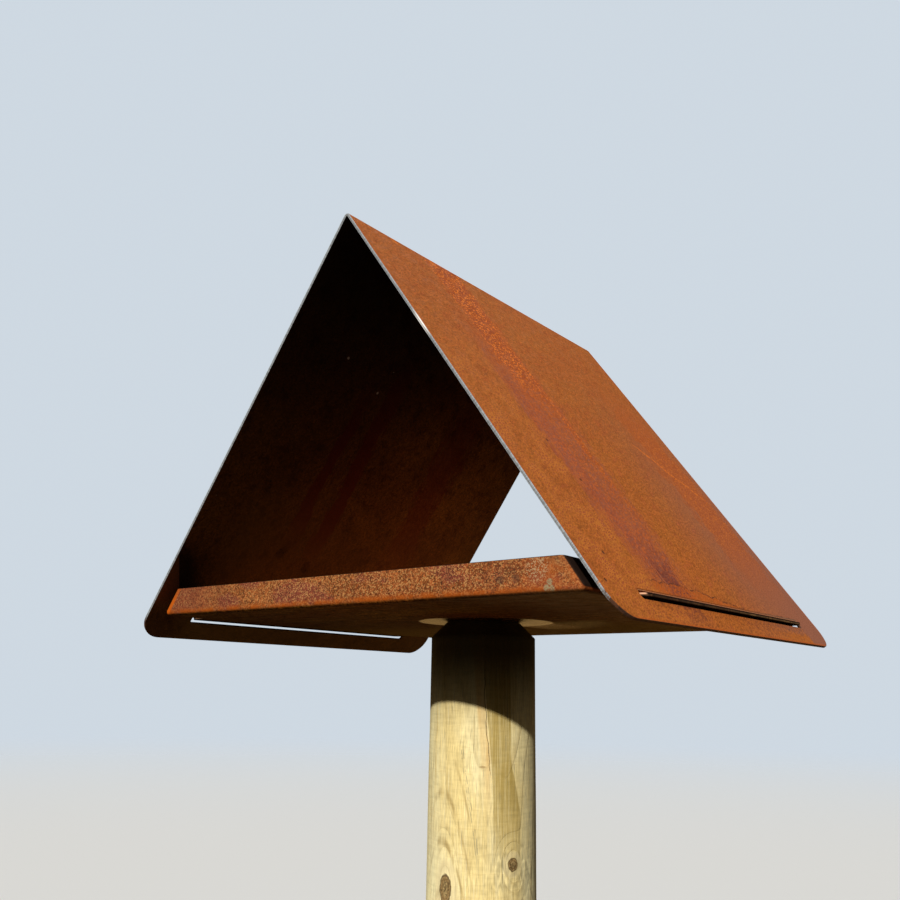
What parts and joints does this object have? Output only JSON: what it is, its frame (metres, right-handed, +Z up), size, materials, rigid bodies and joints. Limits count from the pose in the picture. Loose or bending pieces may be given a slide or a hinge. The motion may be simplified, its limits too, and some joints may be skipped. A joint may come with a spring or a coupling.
{
  "type": "bird feeder house",
  "caption": "Tent-shaped bird feeder house of rusted weathering steel: a folded roof that stands on the tabs of a lipped tray, screwed to the head of a round garden post.",
  "frame": {"origin": "centre of the post's foot, on the ground", "axes": "+Z up along the post, the ridge of the roof along Y with the front towards -Y, and +X to the right seen from the front"},
  "size_m": [0.4202, 0.335, 1.4773],
  "materials": {
    "weathering_steel": "matt orange-brown rust with streaks and mottling",
    "post_timber": "pressure-treated softwood, weathered and dry",
    "zinc_steel": "dull zinc plating"
  },
  "bodies": {
    "root": {"roof": "weathering_steel", "tray": "weathering_steel", "post": "post_timber", "washer_front_left": "zinc_steel", "washer_front_right": "zinc_steel", "washer_rear_left": "zinc_steel", "washer_rear_right": "zinc_steel", "screw_front_left": "zinc_steel", "screw_front_right": "zinc_steel", "screw_rear_left": "zinc_steel", "screw_rear_right": "zinc_steel"}
  },
  "joints": []
}
